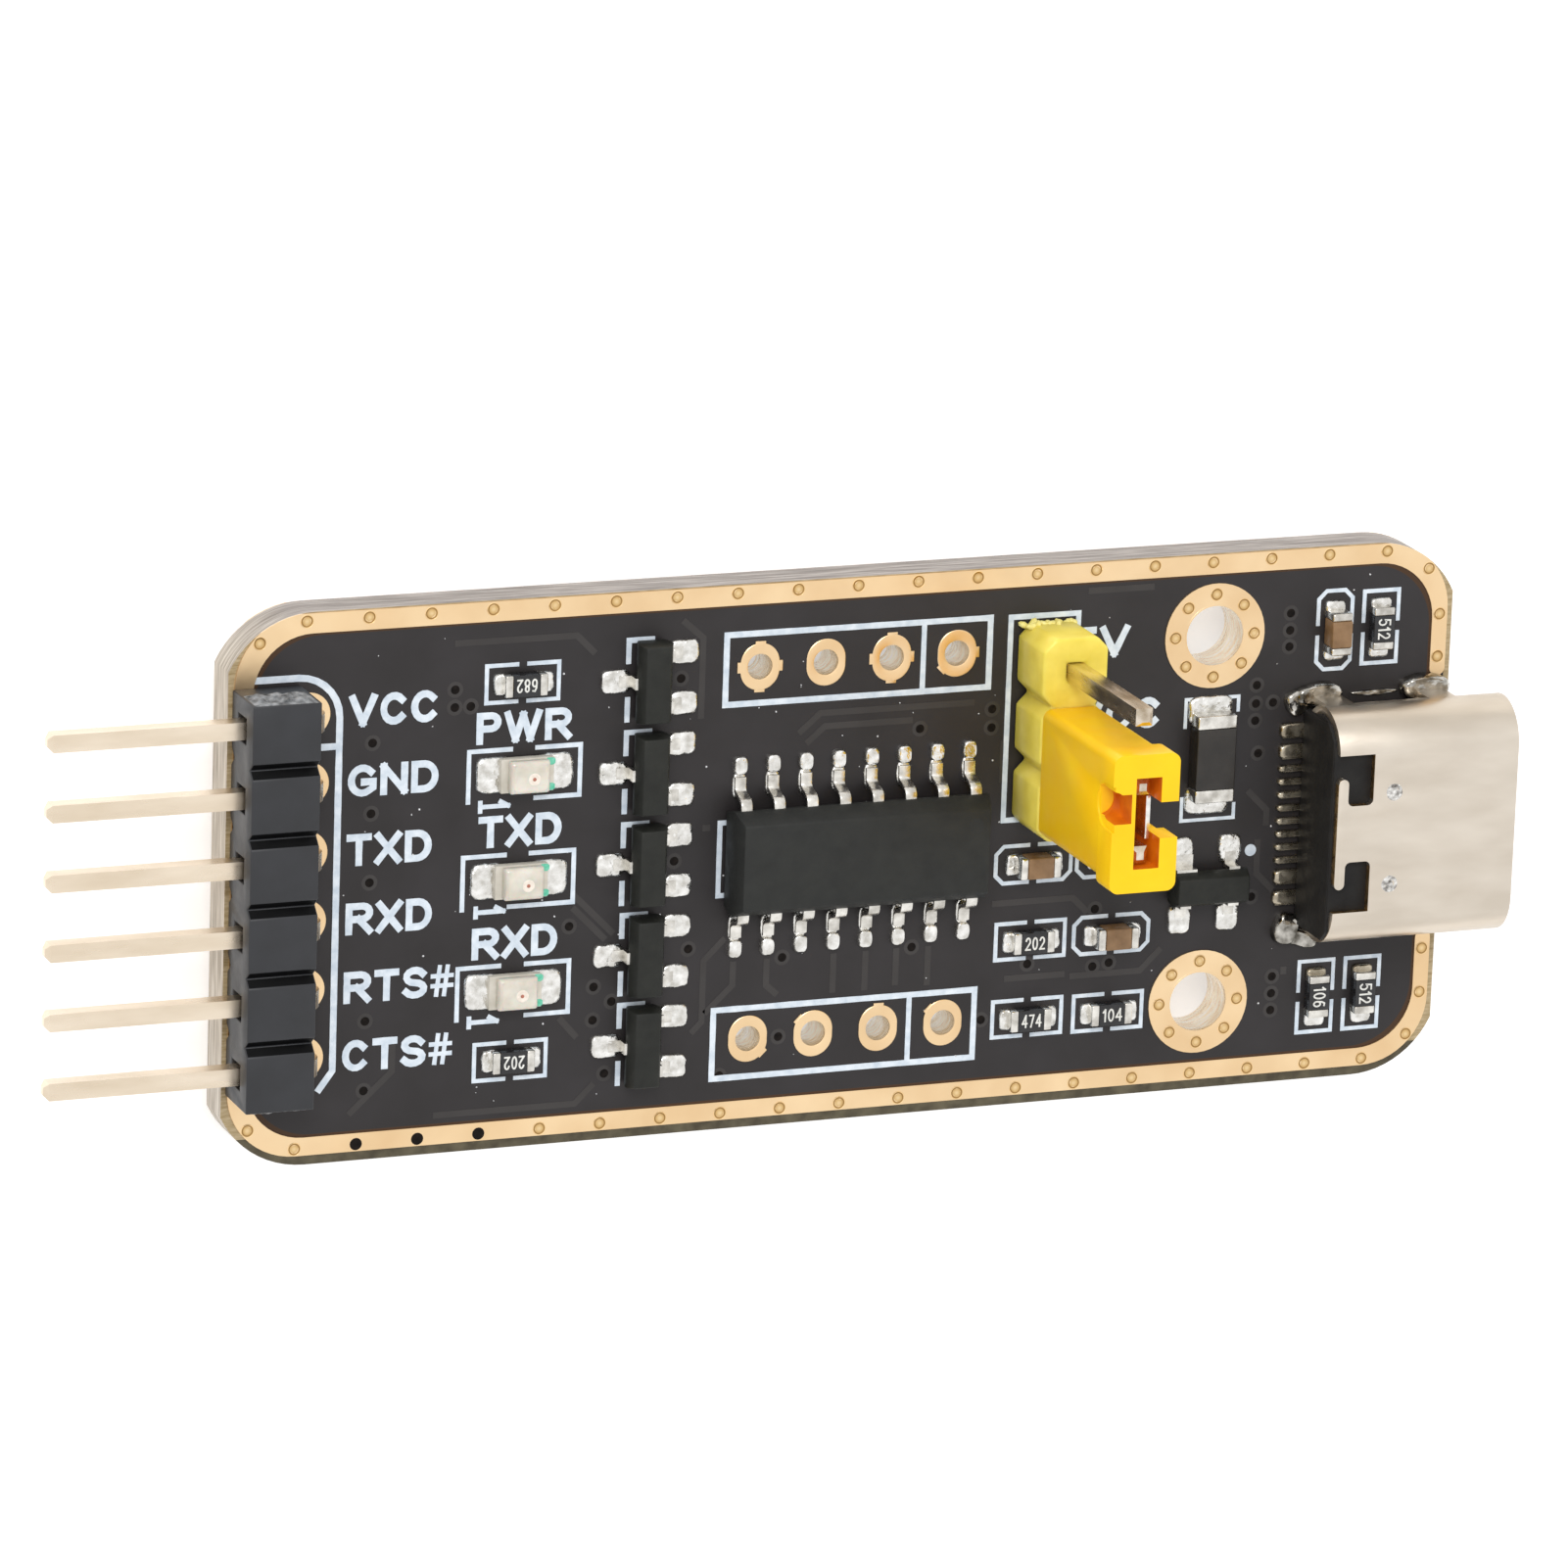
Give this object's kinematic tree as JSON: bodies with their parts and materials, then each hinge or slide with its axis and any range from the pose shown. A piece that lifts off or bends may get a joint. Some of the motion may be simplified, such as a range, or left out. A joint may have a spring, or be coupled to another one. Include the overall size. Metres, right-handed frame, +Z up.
{
  "type": "USB to serial adapter board",
  "caption": "Long black circuit board that bridges a USB socket to a row of right-angle header pins, with an upright jumper and a lift-off cap.",
  "frame": {"origin": "bottom centre of the bounding box, with the board lying face up on its pin tails", "axes": "+Z up out of the component side, +X along the board from the header pins to the USB socket, +Y to the edge nearer the jumper"},
  "size_m": [0.0558, 0.0204, 0.0121],
  "materials": {
    "laminate": "satin",
    "gold": "satin",
    "solder": "gloss",
    "pin_metal": "satin",
    "housing_plastic": "matte",
    "block_plastic": "satin",
    "cap_plastic": "satin",
    "clip_metal": "satin",
    "shell_metal": "satin",
    "core_plastic": "satin",
    "contact_metal": "gloss",
    "tin": "satin",
    "moulding": "matte",
    "fuse_coat": "satin",
    "lamp_carrier": "satin",
    "lamp_resin": "gloss",
    "resistor_glaze": "gloss",
    "capacitor_ceramic": "matte"
  },
  "bodies": {
    "adapter": {"board": "laminate", "border_top": "gold", "border_bottom": "gold", "mount_ring_1": "gold", "mount_ring_2": "gold", "spare_pads_back": "gold", "spare_pads_front": "gold", "header_pads": "gold", "jumper_pads": "gold", "header_solder": "solder", "jumper_solder": "solder", "header_housing": "housing_plastic", "header_pin_1": "pin_metal", "header_pin_2": "pin_metal", "header_pin_3": "pin_metal", "header_pin_4": "pin_metal", "header_pin_5": "pin_metal", "header_pin_6": "pin_metal", "jumper_block": "block_plastic", "jumper_pin_1": "pin_metal", "jumper_pin_2": "pin_metal", "jumper_pin_3": "pin_metal", "usb_shell": "shell_metal", "usb_core": "core_plastic", "usb_contacts": "contact_metal", "usb_leads": "tin", "usb_solder": "solder", "bridge_chip": "moulding", "bridge_chip_leads": "tin", "transistor_1": "moulding", "transistor_2": "moulding", "transistor_3": "moulding", "transistor_4": "moulding", "transistor_5": "moulding", "transistor_leads": "tin", "surge_array": "moulding", "surge_array_leads": "tin", "fuse_body": "fuse_coat", "fuse_ends": "tin", "lamp_base_power": "lamp_carrier", "lamp_lens_power": "lamp_resin", "lamp_base_send": "lamp_carrier", "lamp_lens_send": "lamp_resin", "lamp_base_receive": "lamp_carrier", "lamp_lens_receive": "lamp_resin", "resistors": "resistor_glaze", "resistor_ends": "tin", "capacitors": "capacitor_ceramic", "capacitor_ends": "tin", "chip_pads": "gold", "surface_pads": "gold"},
    "cap": {"jumper_cap": "cap_plastic", "jumper_clip": "clip_metal"}
  },
  "joints": [
    {"name": "cap_lift", "type": "slide", "parent": "adapter", "child": "cap", "axis": [0, 0, 1], "range_m": [0, 0.0075]}
  ]
}
